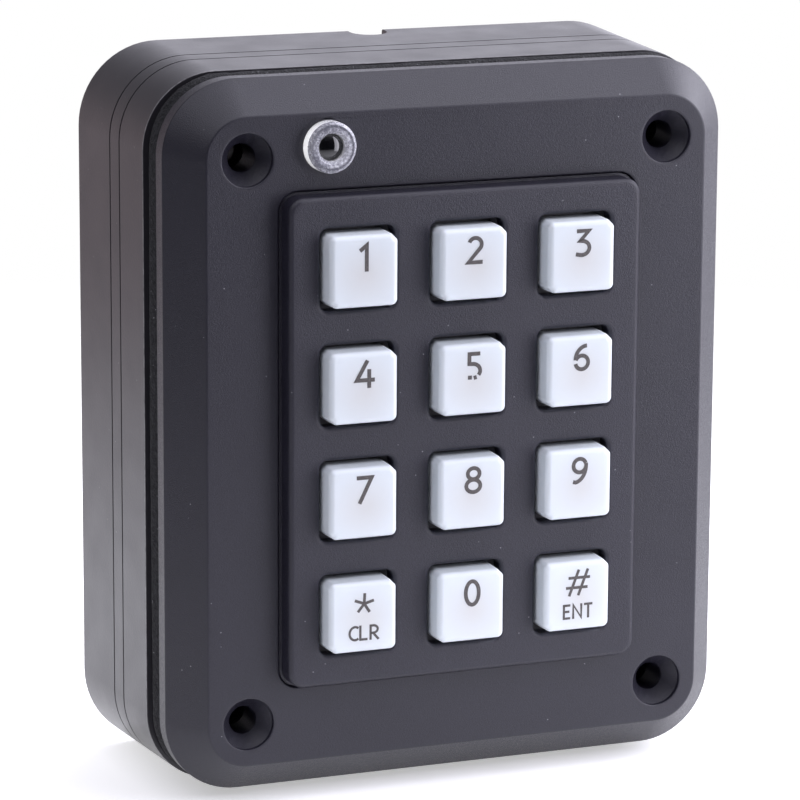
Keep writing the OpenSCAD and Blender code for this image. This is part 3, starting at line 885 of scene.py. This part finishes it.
WORDS = {
    "star": [arc(-1.58, 0, 0.95, 1.10, 52, 308, 22),
             [(-0.66, 1.28), (-0.66, -1.10), (0.60, -1.10)],
             [(1.14, -1.28), (1.14, 1.10), (1.60, 1.10)] + arc(1.62, 0.48, 0.76, 0.62, 80, -80, 12)
             + [(1.14, -0.14)], [(1.62, -0.20), (2.55, -1.28)]],
    "hash": [[(-1.36, 1.10), (-2.52, 1.10), (-2.52, -1.10), (-1.36, -1.10)], [(-2.50, 0.04), (-1.52, 0.04)],
             [(-0.82, -1.28), (-0.82, 1.12), (0.62, -1.12), (0.62, 1.28)],
             [(1.12, 1.10), (2.66, 1.10)], [(1.89, 1.06), (1.89, -1.28)]],
}


def ribbon(s, path, width, depth):
    """Flat raised stroke of one width along a path, with mitred turns."""
    points = [Vector(p) for p in path]
    closed = (points[0] - points[-1]).length < 1e-6
    if closed:
        points = points[:-1]
    count = len(points)
    left, right = [], []
    for i, p in enumerate(points):
        before = points[i - 1] if closed or i else None
        after = points[(i + 1) % count] if closed or i < count - 1 else None
        ways = [w.normalized() for w in (before and p - before, after and after - p) if w]
        sides = [Vector((-w.y, w.x)) for w in ways]
        across = sum(sides, Vector((0, 0))).normalized()
        reach = width / 2 / max(across.dot(sides[0]), 0.45)
        left.append(tuple(p + across * reach))
        right.append(tuple(p - across * reach))
    rows = [s.loop(r, d) for d in (depth, depth - STROKE_T) for r in (left, right)]
    steps = range(count if closed else count - 1)
    for a, b in ((0, 1), (1, 3), (3, 2), (2, 0)):
        for i in steps:
            j = (i + 1) % count
            s.bm.faces.new((rows[a][i], rows[a][j], rows[b][j], rows[b][i]))
    if not closed:
        for i in (0, -1):
            s.bm.faces.new([rows[k][i] for k in (0, 1, 3, 2)])


def legend(key):
    """Printed sign of a key, with its word below it if it has one."""
    cap = CAPS[key]
    s = Solid()
    strokes = [(p, SIGN_W if key in WORDS else DIGIT_W, SIGN_UP) for p in SIGNS[key]]
    strokes += [(p, WORD_W, WORD_UP) for p in WORDS.get(key, [])]
    for i, (path, width, up) in enumerate(strokes):
        placed = [(cap.x + LEGEND_ASIDE + px, cap.z + up + pz) for px, pz in path]
        ribbon(s, placed, width, cap.front - STROKE_STEP * i)
    piece = show("legend_" + key, s, ink, 30)
    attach(piece, "button_" + key)


def rubber_mat():
    """Sheet with light windows, and twelve domes."""
    rear = MAT.rear
    top = rear + MAT_T
    s = Solid()
    corners = box_corners(MAT.hx, MAT.hz, BEZEL_R)
    edge = profile([(-0.5, rear), (0, rear, 0.2), (0, top, 0.3), (-0.6, top)], 3)
    under, over = s.sweep(lambda g: outline(corners, g, 8), edge)
    below, above = [under], [over]
    for cap in CAPS.values():
        for x, z, r in ((cap.x, cap.z, DOME_R), (cap.x + LED_SHIFT, cap.z + LED_SHIFT, LED_WINDOW_R)):
            a, b = s.sweep(lambda g: circle(x, z, r, 28), [(0, rear), (0, top)])
            below.append(a)
            above.append(b)
    s.fill(*below)
    s.fill(*above)
    sheet = show("mat_sheet", s, rubber)
    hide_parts("keymat")
    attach(sheet, "root")
    foot = rear + 0.1
    dome_top = MAT.front
    roof = dome_top - DOME_ROOF
    shell = profile([(DOME_INNER_R, foot), (DOME_R, foot), (DOME_R, top + 0.3, 0.3), (DOME_TOP_R, dome_top, 0.25),
                     (STEM_HOLE_R, dome_top, 0.15), (STEM_HOLE_R, roof, 0.15), (DOME_ROOF_R, roof, 0.2),
                     (DOME_INNER_R, top + 0.1, 0.3), (DOME_INNER_R, foot)], 3)
    for key, cap in CAPS.items():
        d = Solid()
        d.lathe(cap.x, cap.z, shell[:-1], 32, closed=True)
        dome = show("mat_dome_" + key, d, rubber, 45)
        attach(dome, "root")
        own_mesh(dome)


front_cover()
keypad_bezel()
rear_housing()
foam_gasket()
status_light()
for key in KEYS:
    keycap(key)
    legend(key)
rubber_mat()

# ---------------------------------------------------------------- parts that keep their CAD shape


def dress(node, material, bevel=0.0, segments=2):
    """Gives a CAD node a material and, if bevel isn't 0, softened edges of that size in millimetres."""
    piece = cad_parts[node]
    piece.data.materials.clear()
    piece.data.materials.append(material)
    if bevel:
        rounded = piece.modifiers.new("soft_edges", "BEVEL")
        rounded.width = bevel * MM
        rounded.segments = segments
        rounded.limit_method = "ANGLE"
        rounded.angle_limit = math.radians(40)
        rounded.harden_normals = True


board = board_material()
steel = metal("zinc_steel", (0.62, 0.63, 0.66), (0.25, 0.42))
gold = metal("gold_plate", (0.83, 0.62, 0.26), (0.22, 0.36))
brass = metal("turned_brass", (0.72, 0.56, 0.28), (0.22, 0.36))
black_part = moulded("black_moulding", (0.022, 0.022, 0.024), (0.42, 0.58))
chip_black = moulded("chip_epoxy", (0.030, 0.030, 0.032), (0.5, 0.66), 3500, 0.00003)
carbon = moulded("carbon_rubber", (0.020, 0.020, 0.020), (0.6, 0.8), 2500, 0.00004)
led_white = moulded("led_package", (0.82, 0.76, 0.45), (0.25, 0.4))
dress("keypad_pcb", board)
dress("controller_pcb", board)
dress("contact_pads", gold)
dress("backlight_leds", led_white, 0.1)
dress("indicator_leds", led_white, 0.1)
dress("keypad_screws", steel, 0.15)
dress("standoff_screws", steel, 0.15)
dress("terminal_screws", steel, 0.1)
dress("board_standoffs", brass, 0.15)
dress("board_connector", black_part, 0.1)
dress("terminal_block", moulded("terminal_green", (0.035, 0.30, 0.10), (0.34, 0.5)), 0.2)
dress("relay", moulded("relay_blue", (0.03, 0.10, 0.36), (0.28, 0.42)), 0.5, 3)
dress("buzzer", black_part, 0.3, 3)
dress("microcontroller", chip_black, 0.12)
dress("reader_chip", chip_black, 0.15)
dress("capacitors", moulded("capacitor_sleeve", (0.035, 0.04, 0.12), (0.25, 0.4)), 0.5, 3)
dress("antenna_coil", wound_wire(), 0.3)
for key in KEYS:
    dress("contact_pill_" + key, carbon, 0.08)

# ---------------------------------------------------------------- floor, light and camera

# In metres: the floor is opaque up to the first radius and gone at the second
FLOOR_NEAR = 0.13
FLOOR_FAR = 0.42
FLOOR_GLOW = (0.10, 0.62)  # its glow in front of the part, and at the wall
GLOW_FRONT = -0.09

# Colour of all light but that of the warm lobe, whose colour comes second
LIGHT_TINT = (0.985, 0.975, 1.10)
WARM_TINT = (1.30, 0.92, 0.93)
WARM_LOBE = (-158, -5)
# Soft lobes of the surround: azimuth, elevation, sharpness and amount
LOBES = [
    (150, 0, 6, 1.56),
    (117, -5, 12, 0.60),
    (-158, -5, 12, 0.50),
    (70, 67, 6, 2.45),
    (-73, -10, 6, 0.20),
    (-61, 52, 10, 2.0),
    (101, 26, 14, 5.9),
]
# Soft boxes: name, azimuth, elevation, distance, width, height in metres and radiance
SOFT = [
    ("near_soft_box", 48, 8, 0.46, 0.3, 0.46, 3.2),
    ("side_soft_box", 56, 12, 0.34, 0.22, 0.36, 1.2),
]


def direction(azimuth, elevation):
    """Unit vector: azimuth 0 is the front, 90 the right side."""
    a, e = math.radians(azimuth), math.radians(elevation)
    return Vector((math.sin(a) * math.cos(e), -math.cos(a) * math.cos(e), math.sin(e)))


def floor():
    """Plain white table that fades into the surround."""
    level = cad_box[0][2] - 0.0001
    mesh = bpy.data.meshes.new("floor")
    rim = [(1.5 * FLOOR_FAR * x, 1.5 * FLOOR_FAR * y, level) for x, y in circle(0, 0, 1, 64)]
    mesh.from_pydata(rim, [], [tuple(range(64))])
    table = link_object("floor", mesh)
    f = Finish("floor_paper", (0.93, 0.93, 0.93), 0.9)
    f.shader.inputs["Specular IOR Level"].default_value = 0.0
    f.shader.inputs["Emission Color"].default_value = WHITE
    glow = f.remap(f.split(f.place)["Y"], GLOW_FRONT, 0.0, *FLOOR_GLOW)
    f.link(glow, f.shader.inputs["Emission Strength"])
    f.color(f.tint(f.cloud(4), (0.92, 0.92, 0.92), (0.94, 0.94, 0.94)))
    fade = f.remap(f.vector_math("LENGTH", f.place), FLOOR_NEAR, FLOOR_FAR)
    blend = f.node("MixShader")
    f.link(fade, blend.inputs["Fac"])
    f.link(f.shader.outputs[0], blend.inputs[1])
    f.link(f.node("BsdfTransparent").outputs[0], blend.inputs[2])
    f.link(blend.outputs[0], f.tree.nodes["Material Output"].inputs["Surface"])
    mesh.materials.append(f.material)


def studio():
    """Surround with broad soft lobes, brightest at the right and top. The camera itself sees plain white."""
    world = bpy.data.worlds.new("studio")
    bpy.context.scene.world = world
    world.use_nodes = True
    n = Nodes(world.node_tree)
    back = n.tree.nodes["Background"]
    way = n.node("TexCoord").outputs["Generated"]
    total = 0.0
    for azimuth, elevation, power, amount in LOBES:
        facing = n.math("MAXIMUM", n.vector_math("DOT_PRODUCT", way, direction(azimuth, elevation)), 0.0)
        lobe = n.math("MULTIPLY", n.math("POWER", facing, power), amount)
        total = n.math("ADD", lobe, total)
        if (azimuth, elevation) == WARM_LOBE:
            warm = lobe
    n.link(total, back.inputs["Strength"])
    n.link(n.tint(warm, LIGHT_TINT, WARM_TINT), back.inputs["Color"])
    shown = n.node("Background")
    shown.inputs["Color"].default_value = WHITE
    split = n.node("MixShader")
    n.link(n.node("LightPath").outputs["Is Camera Ray"], split.inputs["Fac"])
    n.link(back.outputs[0], split.inputs[1])
    n.link(shown.outputs[0], split.inputs[2])
    n.link(split.outputs[0], n.tree.nodes["World Output"].inputs["Surface"])


def soft_light(name, azimuth, elevation, distance, width, height, radiance):
    """Soft box that faces the object and doesn't show itself."""
    data = bpy.data.lights.new(name, "AREA")
    data.shape = "RECTANGLE"
    data.size = width
    data.size_y = height
    data.energy = radiance * math.pi * width * height
    data.color = LIGHT_TINT
    lamp = link_object(name, data)
    way = direction(azimuth, elevation)
    turn = way.to_track_quat("Z", "Y").to_matrix().to_4x4()
    lamp.matrix_world = Matrix.Translation(way * distance) @ turn
    lamp.visible_camera = False


def photo_camera():
    """Long lens from the upper left, aimed near the middle of the cover's face."""
    azimuth, elevation, roll = -22.0, 12.35, math.radians(0.32)
    distance, aside, up_shift = 0.70252, -0.00964, 0.00479
    back = direction(azimuth, elevation)
    level_right = Vector((0, 0, 1)).cross(back).normalized()
    level_up = back.cross(level_right)
    right = level_right * math.cos(roll) + level_up * math.sin(roll)
    up = level_up * math.cos(roll) - level_right * math.sin(roll)
    data = bpy.data.cameras.new("photo_camera")
    data.sensor_width = 36.0
    data.lens = 192.68
    data.clip_start = 0.01
    data.clip_end = 100.0
    camera = link_object("photo_camera", data)
    at = Vector((0, -COVER.front * MM, 0)) + back * distance + right * aside + up * up_shift
    turn = Matrix((right, up, back)).transposed().to_4x4()
    camera.matrix_world = Matrix.Translation(at) @ turn
    bpy.context.scene.camera = camera


floor()
studio()
for values in SOFT:
    soft_light(*values)
photo_camera()
bpy.context.scene.view_settings.view_transform = "Standard"
bpy.context.scene.view_settings.look = "None"
